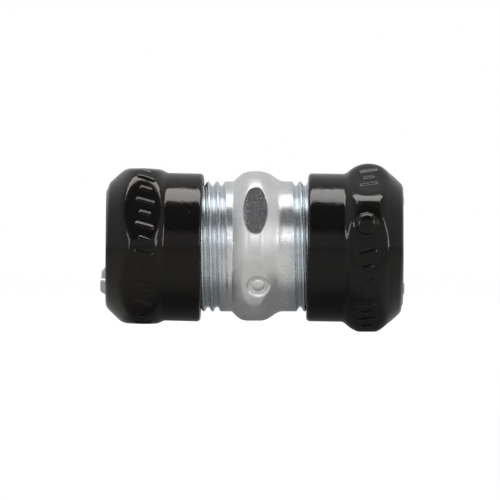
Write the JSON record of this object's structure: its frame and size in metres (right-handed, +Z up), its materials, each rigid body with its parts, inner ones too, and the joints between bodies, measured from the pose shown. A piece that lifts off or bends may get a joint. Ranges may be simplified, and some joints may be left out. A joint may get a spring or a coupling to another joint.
{
  "type": "conduit compression coupling",
  "caption": "Raintight compression coupling that joins conduit ends: a threaded steel body with a bulged hexagon, and a black nut with a grip ring at each end.",
  "frame": {"origin": "on the axis, at the middle of the threaded body", "axes": "+X along the axis towards the right-hand nut, -Y towards the viewer, +Z up"},
  "size_m": [0.0547, 0.0304, 0.0304],
  "materials": {
    "zinc_steel": "bright zinc plating",
    "black_steel": "glossy black coating",
    "ring_steel": "bright zinc plating",
    "seal_rubber": "matte"
  },
  "bodies": {
    "coupling": {"coupling_body": "zinc_steel", "left_seal": "seal_rubber", "right_seal": "seal_rubber"},
    "left_slip": {"left_slip_washer": "ring_steel"},
    "left_nut": {"left_nut": "black_steel"},
    "left_ring": {"left_grip_ring": "ring_steel"},
    "left_thrust": {"left_thrust_washer": "ring_steel"},
    "right_slip": {"right_slip_washer": "ring_steel"},
    "right_nut": {"right_nut": "black_steel"},
    "right_ring": {"right_grip_ring": "ring_steel"},
    "right_thrust": {"right_thrust_washer": "ring_steel"}
  },
  "joints": [
    {"name": "left_nut_travel", "type": "slide", "parent": "coupling", "child": "left_slip", "axis": [1, 0, 0], "range_m": [-0.00309, 0.00368]},
    {"name": "left_nut_turn", "type": "hinge", "parent": "left_slip", "child": "left_nut", "pos_m": [-0.0192, 0, 0], "axis": [1, 0, 0], "range_deg": [-700, 835]},
    {"name": "left_ring_cant", "type": "hinge", "parent": "left_slip", "child": "left_ring", "pos_m": [-0.0228, 0, 0], "axis": [0, 0.8387, -0.5446], "range_deg": [-10, 0]},
    {"name": "left_thrust_float", "type": "slide", "parent": "coupling", "child": "left_thrust", "axis": [1, 0, 0], "range_m": [-0.000253, 0.000302]},
    {"name": "right_nut_travel", "type": "slide", "parent": "coupling", "child": "right_slip", "axis": [-1, 0, 0], "range_m": [-0.00397, 0.00278]},
    {"name": "right_nut_turn", "type": "hinge", "parent": "right_slip", "child": "right_nut", "pos_m": [0.0183, 0, 0], "axis": [-1, 0, 0], "range_deg": [-900, 630]},
    {"name": "right_ring_cant", "type": "hinge", "parent": "right_slip", "child": "right_ring", "pos_m": [0.0219, 0, 0], "axis": [0, -0.8387, 0.5446], "range_deg": [-5, 5]},
    {"name": "right_thrust_float", "type": "slide", "parent": "coupling", "child": "right_thrust", "axis": [-1, 0, 0], "range_m": [-0.00043, 0.000302]}
  ],
  "couplings": [
    {"joint": "left_nut_travel", "follows": "left_nut_turn", "m_per_rad": 0.00025266},
    {"joint": "left_thrust_float", "follows": "left_nut_turn", "m_per_rad": 0.000020585},
    {"joint": "right_nut_travel", "follows": "right_nut_turn", "m_per_rad": 0.00025266},
    {"joint": "right_thrust_float", "follows": "right_nut_turn", "m_per_rad": 0.000027284}
  ]
}
